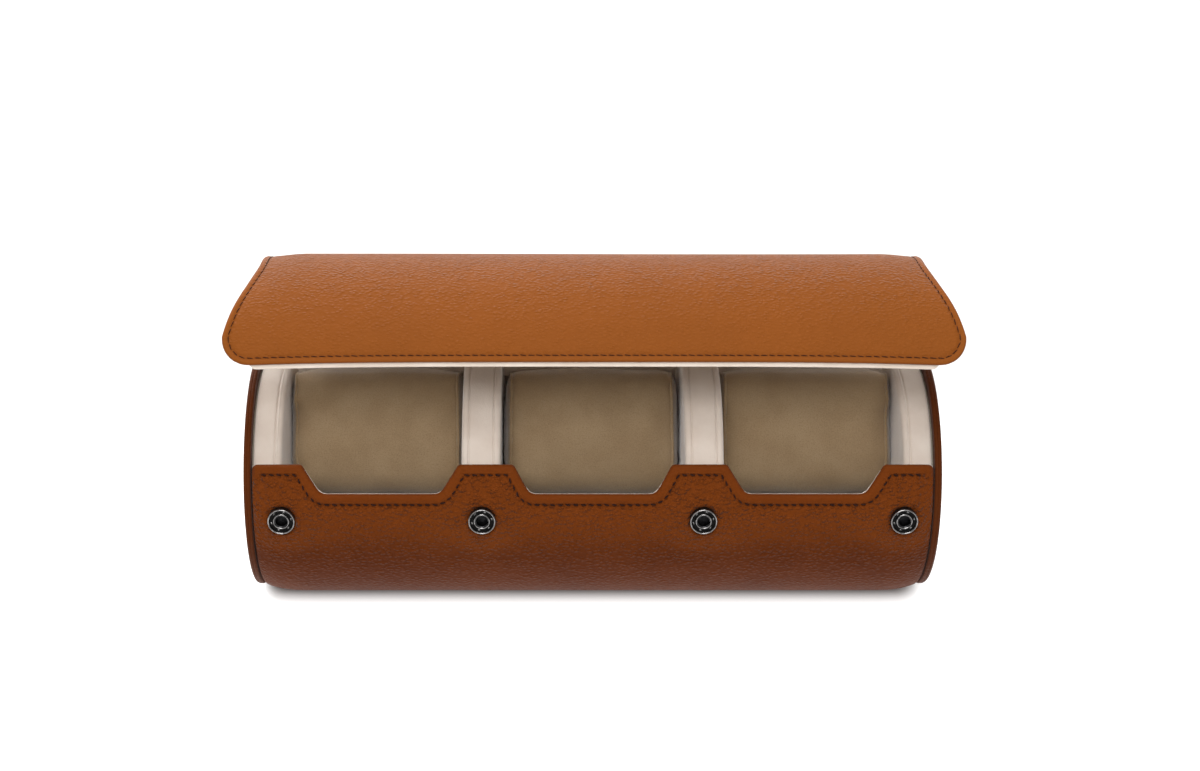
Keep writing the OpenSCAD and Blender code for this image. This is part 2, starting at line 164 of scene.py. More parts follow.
def back_path():
    """The section from the shell's back, over the hinge line, to the lid: points and normals."""
    foot, top = math.radians(13), math.radians(-19)
    rise = np.linspace(top, LID_EDGE - SKIN_JOIN * PER_MM, 12)[1:]
    points = np.vstack([polar(np.arange(-1.2, foot - .005, .01), BODY_R),
                        hinge_bend(foot, BODY_R, top, LID_R, 3.4, 30),
                        polar(rise, LID_R, LID_CENTRE)])
    run = run_along(points)
    even = np.append(np.arange(0, run[-1], .25), run[-1])
    points = spots_at(points, run, even)
    ahead = heading(points)
    return even, points, np.stack([ahead[:, 1], -ahead[:, 0]], 1)


BACK_FROM = BODY_R * (2 * math.pi - 1.2 - LIP)  # arc length at which the back path starts
back_even, back_points, back_normals = back_path()
BACK_END = BACK_FROM + back_even[-1]
LID_FOOT = BACK_END - (LID_BACK - SKIN_JOIN)  # arc length at which the lid proper starts


def on_shell(x, s, h):
    """A spot of the shell's sheet: x across, s down from the lip round the section, h proud."""
    x, s, h = np.broadcast_arrays(np.asarray(x, float), s, h)
    drop = BODY_R - body_radius(x)
    angle = LIP + s / BODY_R
    y, z = np.cos(angle) * (BODY_R - drop + h), np.sin(angle) * (BODY_R - drop + h)
    past = s > BACK_FROM
    q = np.clip(s - BACK_FROM, 0, back_even[-1])
    fade = drop * (1 - ease((s - LID_FOOT + 16) / 16))
    back_y, back_z = (np.interp(q, back_even, back_points[:, k])
                      + (h - fade) * np.interp(q, back_even, back_normals[:, k]) for k in (0, 1))
    y, z = np.where(past, back_y, y), np.where(past, back_z, z)
    return np.stack([x, y, np.maximum(z + AXIS_Z, np.where(h < -1.2, .8, 0))], -1) / 1000


def from_line(points, line):
    """Distance of each flat spot from a line, and the length along the line there."""
    best, along = np.full(len(points), 1e9), np.zeros(len(points))
    reached = 0.0
    for a, b in zip(line[:-1], line[1:]):
        step = b - a
        length = math.hypot(*step)
        t = np.clip((points - a) @ step / length ** 2, 0, 1)
        gap = np.hypot(*(points - a - t[:, None] * step).T)
        near = gap < best
        best[near], along[near] = gap[near], reached + t[near] * length
        reached += length
    return best, along


def rolled(d, r):
    """Height of a turned edge at a distance from its rim, for a rim of radius r."""
    return np.where(d < r, np.sqrt(np.maximum(r * r - (r - d) ** 2, 0)) - r, 0)


def sewn_band(d, seam, puff, groove):
    """Height of the leather beside a seam: a puffed band, the pulled-in seam, the padded field."""
    band = puff * np.sin(np.pi * np.clip(d / seam, 0, 1)) ** .8
    pull = -groove * np.exp(-((d - seam) / .55) ** 2)
    return band + pull + .25 * puff * ease((d - seam) / 2) * (1 - ease((d - seam) / 9))


def shell_columns():
    """Distances across the hide, closer together at its ends and beside the snaps."""
    inner = HALF_L - BORDER[-1]
    xs, at = [], -inner
    while at < inner - .3:
        near = min(abs(at - x) for x in SNAP_X)
        side = min(abs(at - x) for x, _, _ in SCALLOPS)
        at += .5 if 20 < side < 31 else .62 if near < 8 else 1.25
        xs.append(min(at, inner))
    return np.array([-(HALF_L - e) for e in BORDER] + xs[:-1] + [HALF_L - e for e in BORDER[::-1]])


def hide_sheet(columns, rows):
    """A flat sheet with one vertex for each column and row."""
    bm = bmesh.new()
    nx, ny = len(columns) - 1, len(rows) - 1
    bmesh.ops.create_grid(bm, x_segments=nx, y_segments=ny, size=1)
    spots = np.array([v.co[:2] for v in bm.verts])
    i = np.rint((spots[:, 0] + 1) / 2 * nx).astype(int)
    j = np.rint((spots[:, 1] + 1) / 2 * ny).astype(int)
    return bm, i, j


def coords(verts):
    return np.array([v.co[:] for v in verts])


def verts_in(geom):
    return [g for g in geom if isinstance(g, bmesh.types.BMVert)]


def set_places(verts, places):
    for v, p in zip(verts, places):
        v.co = p


def close_form(bm):
    """Turns a closed form's faces outward."""
    bmesh.ops.recalc_face_normals(bm, faces=bm.faces)


def mesh_piece(name, bm, finish, flat=False):
    """Makes a named piece of a modelled mesh, with its finish."""
    bm.normal_update()
    mesh = bpy.data.meshes.new(name)
    bm.to_mesh(mesh)
    bm.free()
    if not flat:
        mesh.shade_smooth()
    mesh.materials.append(finish)
    obj = bpy.data.objects.new(name, mesh)
    scene.collection.objects.link(obj)
    return obj


def face_out(bm, centre):
    """Turns a sheet's faces so that they look away from a point of its own section."""
    bm.normal_update()
    away = sum((f.calc_center_median() - Vector(centre)).dot(f.normal) > 0 for f in bm.faces)
    if away < len(bm.faces) / 2:
        bmesh.ops.reverse_faces(bm, faces=bm.faces)


def near_line(x, s, close, line):
    """Distance from a line and length along it, for the spots of a sheet that are close to it."""
    d, along = np.full(len(s), 99.0), np.zeros(len(s))
    d[close], along[close] = from_line(np.stack([x, s], 1)[close], line)
    return d, along


def note(bm, values):
    """Keeps numbers with the vertices, for the finish and for turning the rim under."""
    layers = [bm.verts.layers.float.new(k) for k in values]
    for v, *row in zip(bm.verts, *values.values()):
        for layer, value in zip(layers, row):
            v[layer] = value


def turn_under(bm, j, form, place):
    """Extrudes a sheet's rim, all but its last row's, round a quarter turn and then under. form
    gives how far out and how high each vertex goes, from its own spot and outward direction."""
    top = j.max()
    last = {v for v, row in zip(bm.verts, j) if row == top}
    edges = [e for e in bm.edges if e.is_boundary and not last.issuperset(e.verts)]
    x, s, nx, ns = (bm.verts.layers.float[k] for k in ("x", "s", "nx", "ns"))
    for turn, under in ((30, 0), (60, 0), (90, 0), (90, 3), (90, 5)):
        new = bmesh.ops.extrude_edge_only(bm, edges=edges)["geom"]
        verts = verts_in(new)
        fresh = set(verts)
        edges = [g for g in new if isinstance(g, bmesh.types.BMEdge) and fresh.issuperset(g.verts)]
        data = np.array([(v[x], v[s], v[nx], v[ns]) for v in verts])
        bend = math.radians(turn)
        out, high = form(data, turn / 90, 1 - math.cos(bend), math.sin(bend), under)
        set_places(verts, place(data[:, 0] + out * data[:, 2], data[:, 1] + out * data[:, 3], high))


def feed(socket, value):
    """Links a socket to another, or sets its value."""
    if isinstance(value, bpy.types.NodeSocket):
        socket.id_data.links.new(value, socket)
    else:
        socket.default_value = value


def spread(at, kind, values=None, **settings):
    """Adds a shader node, with its settings and inputs, beside a node or a socket."""
    made = at.id_data.nodes.new("ShaderNode" + kind)
    for key, value in settings.items():
        setattr(made, key, value)
    for key, value in (values or {}).items():
        feed(made.inputs[key], value)
    return made


def sums(how, a, b=0.0, c=0.0):
    at = b if isinstance(a, float) else a
    return spread(at, "Math", {0: a, 1: b, 2: c}, operation=how).outputs[0]


def times(a, b):
    return sums("MULTIPLY", a, b)


def ramp(value, low, high, to_low=0.0, to_high=1.0, smooth=True):
    return spread(value, "MapRange", {"Value": value, "From Min": low, "From Max": high,
                                      "To Min": to_low, "To Max": to_high},
                  interpolation_type="SMOOTHSTEP" if smooth else "LINEAR").outputs[0]


def tint(by, a, b, how="MIX"):
    return spread(by, "Mix", {0: by, 6: a, 7: b}, data_type="RGBA", blend_type=how).outputs[2]


def noise(place, scale, detail, part="Fac", **more):
    return spread(place, "TexNoise", {"Vector": place, "Scale": scale, "Detail": detail,
                                      **more}).outputs[part]


def bump(height, strength, distance):
    return spread(height, "Bump", {"Height": height, "Strength": strength,
                                   "Distance": distance}).outputs[0]


def attribute(at, name):
    return spread(at, "Attribute", attribute_name=name).outputs["Fac"]


def wear(shader, **values):
    """Sets or links the main shader's inputs."""
    for key, value in values.items():
        feed(shader.inputs[key.replace("_", " ")], value)


def new_finish(name, rough, **plain):
    """A material with its main shader's plain values set, and object coordinates to hand."""
    made = bpy.data.materials.new(name)
    made.use_nodes = True
    shader = made.node_tree.nodes["Principled BSDF"]
    wear(shader, Roughness=rough, **plain)
    return made, shader, spread(shader, "TexCoord").outputs["Object"]


def tan_leather(name, grain, wide, deep, mid, pale, seam, relief, gloss, dust, lift=0, fade=None):
    """Fine-grained cow leather, with painted light in its colour: its pebble tops are painted paler,
    a painted highlight, and the hollows between them and the dimples along the seam darker, painted
    shade. grain is the size of a pebble in millimetres, and wide how far the pebbles are drawn out
    sideways. seam is the stitches' distance inside the edge, and relief the height of the grain, both
    in metres. lift pales the leather where its grain stands up, a painted highlight on the shell's
    upper front, and fade is the tint of what lies behind, below the lid: it takes the painted shade
    of a darker copy of the leather off again, toward the lid's lighter copy."""
    made, shader, place = new_finish(name, .5, Specular_IOR_Level=gloss, Sheen_Weight=dust,
                                     Sheen_Roughness=.45)
    inset, along, ruck, grain_and_painted_light = (attribute(place, k) for k in ("inset", "along", "ruck", "grain"))
    stretch = spread(place, "Mapping", {"Vector": place, "Scale": (wide, 1, 1)}).outputs[0]
    bent = noise(place, 420, 2, "Color")
    bent = spread(place, "VectorMath", {0: bent, 1: (-.5, -.5, -.5)}, operation="ADD").outputs[0]
    bent = spread(place, "VectorMath", {0: bent, "Scale": .0009}, operation="SCALE").outputs[0]
    bent = spread(place, "VectorMath", {0: stretch, 1: bent}, operation="ADD").outputs[0]
    pebble = spread(place, "TexVoronoi", {"Vector": bent, "Scale": 1000 / grain, "Smoothness": .22},
                    feature="SMOOTH_F1").outputs["Distance"]
    clump = noise(place, 300, 3)
    pores = noise(place, 3200, 2)
    streaks = noise(stretch, 640, 3, Distortion=1.2)
    dome = ramp(pebble, .02, .66, 1, 0, smooth=False)
    # the grain is pressed flat on the turned band, and stands up where the hide is bent or pulled
    field = times(ramp(inset, seam - .0010, seam + .0006, .25, 1.0), grain_and_painted_light)
    field = times(field, ramp(clump, .25, .75, .55, 1.4))
    rise = times(sums("MULTIPLY_ADD", streaks, .25, dome), field)
    rise = sums("MULTIPLY_ADD", pores, .06, rise)
    rise = sums("MULTIPLY_ADD", times(streaks, ruck), .6, rise)
    # each stitch pulls a small dimple, in step with the thread
    turn = sums("SINE", times(along, 2000 * math.pi / STITCH))
    off = times(sums("SUBTRACT", inset, seam), 1150.0)
    near = sums("POWER", 2.718, times(times(off, off), -1.0))
    rise = sums("MULTIPLY_ADD", times(near, turn), .10, rise)
    colour = tint(ramp(noise(place, 34, 4), .32, .7, 0, .16), mid, pale)
    # painted light: the pebble tops are painted paler, a painted highlight, and the hollows between them
    # darker, painted shade
    colour = tint(times(ramp(dome, .2, 1.0, 0, .22), field), colour, pale)
    colour = tint(times(ramp(dome, .6, .0, 0, .20), field), colour, deep)
    # painted shade: the leather is darkened in the dimples along the seam
    colour = tint(times(near, .25), colour, deep)
    # painted highlight: lift pales the leather where the grain value is high, on the shell's upper front and
    # round the snaps, for the light that falls there
    colour = tint(ramp(grain_and_painted_light, .75, 1.45, 0, lift), colour, pale)
    # painted shade taken off again: the shell's darker copy is multiplied up toward the lid's lighter
    # leather on the part behind, toward the lid
    if fade:
        up = spread(place, "SeparateXYZ", {"Vector": place}).outputs
        behind = times(ramp(up["Y"], .0, .034), ramp(up["Z"], .010, .060))
        colour = tint(behind, colour, fade, "MULTIPLY")
    wear(shader, Base_Color=tint(ramp(inset, .0, .0007, .15, 0.0), colour, deep),
         Normal=bump(rise, 1.0, relief), Roughness=ramp(dome, .1, .9, .60, .50))
    return made


# The shell's leather is a darker copy of the lid's leather, painted shade for the front of the roll, which
# takes less light. fade multiplies it back up to the lid's tone on the part behind, toward the lid.
shell_painted_shade_finish = tan_leather("shell_leather_painted_shade_finish", 1.3, .8, (.032, .0052, .0006, 1),
                           (.087, .0172, .0016, 1), (.176, .0405, .0045, 1), LIP_SEAM / 1000,
                           .00055, .03, .055, lift=.55, fade=(2.1, 2.9, 3.6, 1))


def shell_skin():
    columns = shell_columns()
    rows = list(BORDER[:-1])
    at = rows[-1]
    while at < BACK_END + LIP_RISE:
        beside_snap = abs(at - SNAP_AT + 4) < 13
        at += .62 if beside_snap else 1.2 if at < 62 else 3.0 if at < BACK_FROM - 4 else 1.0
        rows.append(at)
    rows[-1] = BACK_END + LIP_RISE
    rows = np.array(rows)
    bm, i, j = hide_sheet(columns, rows)
    x, t = columns[i], rows[j]
    # toward the lid the hide narrows from the shell's length to the lid's width
    narrow = 1 - (1 - LID_W / 2 / HALF_L) * ease((t - LID_FOOT + 17) / 17)
    x = x * narrow
    past = ease((t - 7) / 40)
    s = t + lip_line(columns[i]) * (1 - past) - LIP_RISE * past
    corner = LIP_CORNER * (1 - np.cos(np.linspace(0, np.pi / 2, 9)))[:-1]
    edge_x = np.concatenate([-HALF_L + corner, np.arange(-HALF_L + LIP_CORNER, HALF_L - 2.1, .5),
                             HALF_L - corner[::-1]])
    d, along = near_line(x, s, t < 22, np.stack([edge_x, lip_line(edge_x)], 1))
    from_end = HALF_L * narrow - np.abs(x)
    lidward = ease((t - LID_FOOT + 12) / 14)
    end_form = rolled(from_end, LIP_ROLL)
    lid_form = rolled(from_end, LID_ROLL) + sewn_band(from_end, LID_SEAM, .20, .30)
    h = rolled(d, LIP_ROLL) + sewn_band(d, LIP_SEAM, .48, .50)
    over = np.where(from_end < 1.3, 0, h)
    h = np.minimum(h, (1 - lidward) * end_form + lidward * lid_form + over)
    # the sockets' seats are pressed into the leather, which stands up a little round them
    snap = np.min([np.hypot(x - c, s - SNAP_AT) for c in SNAP_X], axis=0)
    seat = (1.02 + 1.7 * (1 - ease((snap - 2.4) / .9))) * (1 - ease((snap - 4.95) / .9))
    h = h + np.where(t < 60, .22 * np.exp(-((snap - 6.6) / 1.3) ** 2) - seat, 0)
    waves = np.sin(x * .83 + 1.7 * np.sin(s * .31)) * np.sin(s * .71 + 1.3 * np.sin(x * .23))
    ruck = np.exp(-(snap / 10) ** 2) + .8 * np.exp(-np.clip(d - 3, 0, 99) / 5) * (d > 3)
    ruck = np.where(t < 70, np.clip(ruck, 0, 1) + .18 * (1 - ease((s - 20) / 30)), 0)
    h = h + .09 * waves * ruck
    lean = np.interp(x, edge_x, np.gradient(lip_line(edge_x), edge_x))
    norm = np.hypot(lean, 1)
    end = (i == 0) | (i == len(columns) - 1)
    lip = (j == 0) & ~end
    # the grain value sets how strongly the grain stands up, and the shell's finish also pales the leather by
    # it, a painted highlight on the upper front and round the snaps
    note(bm, {"x": x, "s": s, "nx": np.where(lip, lean / norm, np.where(end, np.sign(x), 0)),
              "ns": np.where(lip, -1 / norm, 0),
              "inset": np.where(lidward > .5, from_end + LIP_SEAM - LID_SEAM, d) / 1000,
              "along": np.where(t > 70, s, along) / 1000, "ruck": ruck,
              "grain": 1 + ruck - .55 * ease((s - 24) / 26) * (t < BACK_FROM - 60)})
    set_places(bm.verts, on_shell(x, s, h))

    def form(data, turn, back, down, under):
        on = ease((data[:, 1] - LID_FOOT + 12) / 14) * (data[:, 1] > 70)
        lipped = np.abs(data[:, 3])
        lip_out, lip_high = -LIP_ROLL * back - under, -LIP_ROLL - 1.3 * down
        end_high = -LIP_ROLL - 2.0 * turn - .1 * under
        lid_out = -LID_ROLL * back - under
        lid_high = -LID_ROLL - LID_ROLL * down - min(under, 3) * .32
        return (lipped * lip_out + (1 - lipped) * on * lid_out,
                lipped * lip_high + (1 - lipped) * ((1 - on) * end_high + on * lid_high))

    turn_under(bm, j, form, on_shell)
    face_out(bm, metres(0, 0, 0))
    return mesh_piece("shell_skin", bm, shell_painted_shade_finish)


shell_leather = shell_skin()
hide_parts("shell_leather", "shell_board", "hinge_leather")
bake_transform(shell_leather, "case", "lid", start=(0, .0440, .0535), end=(0, .0505, .0672))


# Lid leather: one hide over the stiff board and on into the soft front flap.
# Its front corners are round, and its three free edges are turned under and
# sewn down. It bends at the fold, where the board stops.

FLARE = 10.8  # added to each side at the front edge
FLARE_L = 50.0
CORNER_R = 10.0
CORNER_ROWS = CORNER_R * (1 - np.cos(np.linspace(0, np.pi / 2, 15)[:-1]))


def lid_half(s):
    return LID_W / 2 + FLARE * (1 - ease(s / FLARE_L))


CORNER_X = lid_half(CORNER_R) - CORNER_R  # the middle of a round corner


def lid_half_round(s):
    """Half width with the round front corners."""
    arc = np.sqrt(np.maximum(CORNER_R ** 2 - (CORNER_R - np.clip(s, 0, CORNER_R)) ** 2, 0))
    return np.where(s < CORNER_R, CORNER_X + arc, lid_half(s))


def on_lid(x, s, h):
    """A spot of the lid's sheet as it stands open: s back from the front edge, h proud of its
    leather. The soft flap hangs a little lower toward its corners."""
    x, s, h = np.broadcast_arrays(np.asarray(x, float), s, h)
    angle = LID_EDGE - (s - 1.3 * (np.abs(x) / 125) ** 4 * (1 - ease(s / 24))) * PER_MM
    return metres(x, *polar(angle, LID_R + h, LID_CENTRE).T)


lid_finish = tan_leather("lid_leather_finish", .95, .62, (.128, .0310, .0030, 1),
                         (.194, .0540, .0064, 1), (.262, .0720, .0082, 1), LID_SEAM / 1000,
                         .00052, .05, .12)


def lid_outline():
    """The lid's free edge in the flat, up one side, across the front and up the other."""
    s = np.concatenate([CORNER_ROWS, np.arange(CORNER_R, SKIN_JOIN + 8, 1.0)])
    side = np.stack([lid_half_round(s), s], 1)
    front = np.stack([np.linspace(-CORNER_X + 1, CORNER_X - 1, 240), np.zeros(240)], 1)
    return np.concatenate([side[::-1] * (-1, 1), front, side])


def droop(s, d):
    """How far the lid's sides hang between the fold and the foot, past the board's edges."""
    return .9 * (1 - ease(d / 15)) * ease((s - 15) / 25) * (1 - ease((s - 80) / 26))


def lid_skin():
    rows = np.concatenate([[0, .08, .3, .62], CORNER_ROWS[5:], np.arange(CORNER_R, SKIN_JOIN, 1.0),
                           [SKIN_JOIN]])
    inner = LID_W / 2 - BORDER[-1]
    middle = np.linspace(-inner, inner, 150)
    columns = np.arange(len(BORDER) * 2 + 148)
    bm, i, j = hide_sheet(columns, rows)
    s = rows[j]
    half = lid_half_round(s)
    # columns keep their distance from the nearer side within the border, and spread between
    border, last = np.array(BORDER), len(BORDER) - 1
    right = len(columns) - 1 - i
    near = np.minimum(i, right)
    x = np.where(near <= last, np.sign(i - right) * (half - border[np.minimum(near, last)]),
                 middle[np.clip(i - last, 0, 149)] * (half - BORDER[-1]) / inner)
    d, along = near_line(x, s, (s < 16) | (half - np.abs(x) < 16), lid_outline())
    d[(j == 0) | (near == 0)] = 0
    h = rolled(d, LID_ROLL) + sewn_band(d, LID_SEAM, .20, .30)
    # the board's front edge just shows through at the fold, and the wide panel is not quite even
    h = h + .10 * ease((s - FOLD_AT + 1) / 3) * ease((d - 5) / 5)
    h = h + .16 * np.sin(x * .021 + .4) * np.sin(s * .05 + .8) * ease((d - 6) / 10)
    h = h - droop(s, d)
    slope = lid_half(s + .5) - lid_half(s - .5)
    norm = np.hypot(1, slope)
    nx, ns = np.sign(x) / norm, -slope / norm
    in_corner = (s < CORNER_R) & (np.abs(x) >= CORNER_X - .01)
    nx = np.where(in_corner, (x - np.sign(x) * CORNER_X) / CORNER_R, nx)
    ns = np.where(in_corner, (s - CORNER_R) / CORNER_R, ns)
    front = (j == 0) & ~in_corner
    waves = .5 + .5 * np.sin(x * .09) * np.sin(s * .13 + 1)
    note(bm, {"x": x, "s": s, "nx": np.where(front, 0, nx), "ns": np.where(front, -1, ns),
              "inset": d / 1000, "along": along / 1000, "ruck": .10 * waves * ease((d - 3) / 4),
              "grain": .35 + .85 * ease((s - 6) / 62)})
    set_places(bm.verts, on_lid(x, s, h))

    def form(data, turn, back, down, under):
        front = np.abs(data[:, 3]) * (data[:, 1] < CORNER_R)
        on_board = ease((data[:, 1] - FOLD_AT + 2) / 5) * (1 - front)
        sunk = min(under, 3) * .32 * on_board
        return -LID_ROLL * back - under, -LID_ROLL - LID_ROLL * down - sunk

    turn_under(bm, j, form, on_lid)
    face_out(bm, metres(0, *LID_CENTRE))
    return mesh_piece("lid_skin", bm, lid_finish)


lid_leather = lid_skin()
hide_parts("lid_leather", "fold_leather", "flap_leather")
FOLD = on_lid(0, FOLD_AT, -1.1)
FOLD_RUN = (on_lid(0, FOLD_AT - 1, -1.1) - on_lid(0, FOLD_AT + 1, -1.1)) / 2
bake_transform(lid_leather, "lid", "flap", start=FOLD - FOLD_RUN * 6, end=FOLD + FOLD_RUN * 6)


# Stitching: brown bonded thread in a lockstitch, one row along the lip and
# one round the lid. Each stitch dives into the leather at its two ends.

thread_finish, shader, place = new_finish("brown_thread_finish", .8, Specular_IOR_Level=.12)
twist = spread(place, "TexWave", {"Vector": place, "Scale": 900, "Distortion": 2}).outputs["Fac"]
wear(shader, Base_Color=tint(twist, (.014, .0046, .0032, 1), (.034, .0100, .0064, 1)),
     Normal=bump(twist, .5, .00006))


def seam_spots(edge, inset):
    """Evenly spaced spots of a seam inside an edge, with its direction there."""
    ahead = heading(edge)
    inner = edge + inset * np.stack([-ahead[:, 1], ahead[:, 0]], 1)
    gap, _ = from_line(inner, edge)
    inner = inner[gap > inset - .06]
    run = run_along(inner)
    at = np.arange(STITCH / 2, run[-1], STITCH)
    lead = spots_at(inner, run, at + .4) - spots_at(inner, run, at - .4)
    return spots_at(inner, run, at), unit(lead)


def on_lid_sides(x, s, h):
    """The same, beside the edge, where the sides droop."""
    return on_lid(x, s, h - droop(s, LID_SEAM))


def stitches(name, spots, leads, place, level, length, thick, slant):
    """A short, thick loop of thread at each spot of a sheet."""
    bm = bmesh.new()
    lean = math.radians(slant)
    for k, ((x, s), (tx, ts)) in enumerate(zip(spots, leads)):
        new = bmesh.ops.create_uvsphere(bm, u_segments=6, v_segments=6, radius=1)["verts"]
        ball = coords(new)
        run, side, up = ball[:, 2] * length / 2, ball[:, 0] * thick, ball[:, 1] * thick
        wobble = lean + .05 * math.sin(k * 2.4)
        a = run * math.cos(wobble) - side * math.sin(wobble)
        b = run * math.sin(wobble) + side * math.cos(wobble)
        sag = -.42 * ball[:, 2] ** 4
        set_places(new, place(x + a * tx - b * ts, s + a * ts + b * tx, level + up + sag))
    close_form(bm)
    return mesh_piece(name, bm, thread_finish)


lip_x = np.arange(-HALF_L + 3.2, HALF_L - 3.1, .5)
lip_spots, lip_leads = seam_spots(np.stack([lip_x, lip_line(lip_x)], 1), LIP_SEAM)
lip_thread = stitches("lip_stitching", lip_spots, lip_leads, on_shell, .02, 2.0, .33, 12)
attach(lip_thread, "case")

lid_spots, lid_leads = seam_spots(lid_outline(), LID_SEAM)
keep = lid_spots[:, 1] < SKIN_JOIN + 6
lid_thread = stitches("lid_stitching", lid_spots[keep], lid_leads[keep], on_lid_sides, -.08,
                      2.9, .17, -6)
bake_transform(lid_thread, "lid", "flap", start=FOLD - FOLD_RUN * 6, end=FOLD + FOLD_RUN * 6)


# Linings: cream suede glued inside the shell and under the lid. It is a thin
# sheet with raw edges, and a narrow strip of it shows in front of the lid.


def suede(name, deep, mid, pale, nap=1.0, lines=0.0):
    """Short-napped suede: fine felted fibres that catch light at their tips."""
    made, shader, place = new_finish(name, .93, Sheen_Weight=.55, Sheen_Roughness=.45)
    fine = noise(place, 2600, 4, Roughness=.7)
    tufts = noise(place, 620, 3)
    combed = spread(place, "Mapping", {"Vector": place, "Scale": (2600, 700, 700)}).outputs[0]
    combed = noise(combed, 1, 2)
    cloud = noise(place, 70, 4)
    rise = sums("MULTIPLY_ADD", combed, lines, fine)
    colour = tint(ramp(cloud, .3, .72), mid, pale)
    wear(shader, Base_Color=tint(ramp(rise, .62, .28, 0, .5), colour, deep),
         Normal=bump(sums("MULTIPLY_ADD", tufts, .8, rise), .8, .00012 * nap))
    return made


cream_finish = suede("cream_suede_finish", (.36, .28, .22, 1), (.58, .49, .41, 1),
                     (.65, .565, .49, 1), lines=.7)
LINING_T = .8


def lining_sheet(name, columns, rows, half, place, level=0):
    """A suede sheet with its two faces and raw edges. level gives the height of its upper face."""
    bm, i, j = hide_sheet(columns, rows)
    s = rows[j]
    x = columns[i] * half(s)
    level = level(s) if level else 0 * s
    set_places(bm.verts, place(x, s, level))
    layer = bm.verts.layers.float_vector.new("below")
    for v, p in zip(bm.verts, place(x, s, level - LINING_T)):
        v[layer] = p
    face_out(bm, metres(0, 0, 0))
    skin = bmesh.ops.extrude_face_region(bm, geom=list(bm.faces), use_keep_orig=True)["geom"]
    for v in verts_in(skin):
        v.co = v[layer]
    close_form(bm)
    return mesh_piece(name, bm, cream_finish)


def split(count):
    """Shares from -1 to 1 across a sheet, closer together at its edges."""
    edge = np.array([1, .9985, .996])
    return np.concatenate([-edge, np.linspace(-.99, .99, count), edge[::-1]])


LINING_END = BODY_R * math.radians(238.07)


def shell_lining_sheet():
    columns = np.concatenate([np.arange(-HALF_L, HALF_L, 1.6), [HALF_L]]) / HALF_L
    rows = np.concatenate([[0, .15, .5, 1, 2, 4], np.arange(6, LINING_END, 3), [LINING_END]])

    def place(x, t, h):
        lip = lip_line(np.sign(x) * np.minimum(np.abs(x), 121)) * (1 - ease((t - 2) / 40))
        edge = .25 * (1 - ease(t / .5))
        a = LIP + (t + (lip + .3 * (1 - ease(t / 4)))) / BODY_R
        r = body_radius(x) - 2.5 + h + np.where(h < -.4, edge, -edge)
        depth = np.where(h < -.4, 3.3, 2.5)
        return np.stack([x, r * np.cos(a), np.maximum(AXIS_Z + r * np.sin(a), depth)], -1) / 1000
    return lining_sheet("shell_suede", columns, rows, lambda t: HALF_L, place)


shell_lining = shell_lining_sheet()
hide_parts("shell_lining")
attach(shell_lining, "case")


def lid_lining_half(s):
    """Half width of the lid's lining, square at its front."""
    corner = 117.6 + 2.9 * np.sqrt(np.clip(1 - ((1.6 - s) / 3.0) ** 2, 0, 1))
    side = np.minimum(lid_half(np.maximum(s, 0)) - 3.4, LID_W / 2 + ease((s - 1.6) / 14) * 9)
    return np.where(s < 1.6, corner, side)


def lid_lining_sheet():
    rows = np.concatenate([[-1.4, -1.25, -.9, 0, 2, 5, 8, 11, 14, 17, 20], np.arange(22, 31, 1),
                           np.arange(33, LID_BACK - 1, 3), [LID_BACK]])
    level = lambda s: -1.2 - 1.0 * ease((s - FOLD_AT + 1.6) / 3.4)
    return lining_sheet("lid_suede", split(70), rows, lid_lining_half, on_lid, level)


lid_lining = lid_lining_sheet()
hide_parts("lid_lining", "fold_lining", "flap_lining")
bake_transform(lid_lining, "lid", "flap", start=FOLD - FOLD_RUN * 6, end=FOLD + FOLD_RUN * 6)


def hinge_lining_sheet():
    """The strip of suede between the shell's lining and the lid's, over the hinge line."""
    path = hinge_bend(math.radians(14.2), 43.96,
                      LID_EDGE - (LID_BACK - .8) * PER_MM, 48.26, 3.6, 25)
    ahead = heading(path)
    at = np.linspace(0, 1, 25)

    def place(x, t, h):
        return metres(x, *(np.interp(t, at, path[:, k]) + h * np.interp(t, at, out)
                           for k, out in ((0, ahead[:, 1]), (1, -ahead[:, 0]))))
    return lining_sheet("hinge_suede", split(60), at, lambda t: 119.8, place)


hinge_lining = hinge_lining_sheet()
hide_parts("hinge_lining")
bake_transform(hinge_lining, "case", "lid", start=(0, .0440, .0535), end=(0, .0505, .0672))


# End caps: a leather-faced board disc at each end, its rim turned over the
# board's edge, with a fine second ply, and a dark groove next to the shell.

CAP_R = 43.9
SIDES = ((-1, "left"), (1, "right"))


def turned(profile, steps):
    """Spins a profile of (x, radius) spots, in millimetres, round the roll's axis."""
    bm = bmesh.new()
    verts = [bm.verts.new(metres(x, 0, r)) for x, r in profile]
    edges = [bm.edges.new(pair) for pair in zip(verts[:-1], verts[1:])]
    bmesh.ops.spin(bm, geom=verts + edges, cent=metres(0, 0, 0), axis=(1, 0, 0),
                   angle=2 * math.pi, steps=steps, use_merge=True)
    bmesh.ops.remove_doubles(bm, verts=bm.verts, dist=2e-6)
    close_form(bm)
    return bm


def quarter(cx, cr, r, start, end, steps=6):
    """Spots of a profile's round corner, between two angles in degrees."""
    return [tuple(spot) for spot in polar(np.radians(np.linspace(start, end, steps)), r, (cx, cr))]


cap_finish = tan_leather("cap_leather_finish", 1.15, .9, (.030, .0056, .0007, 1),
                         (.080, .0175, .0020, 1), (.140, .0350, .0048, 1), .0012, .00045, .05, .06)


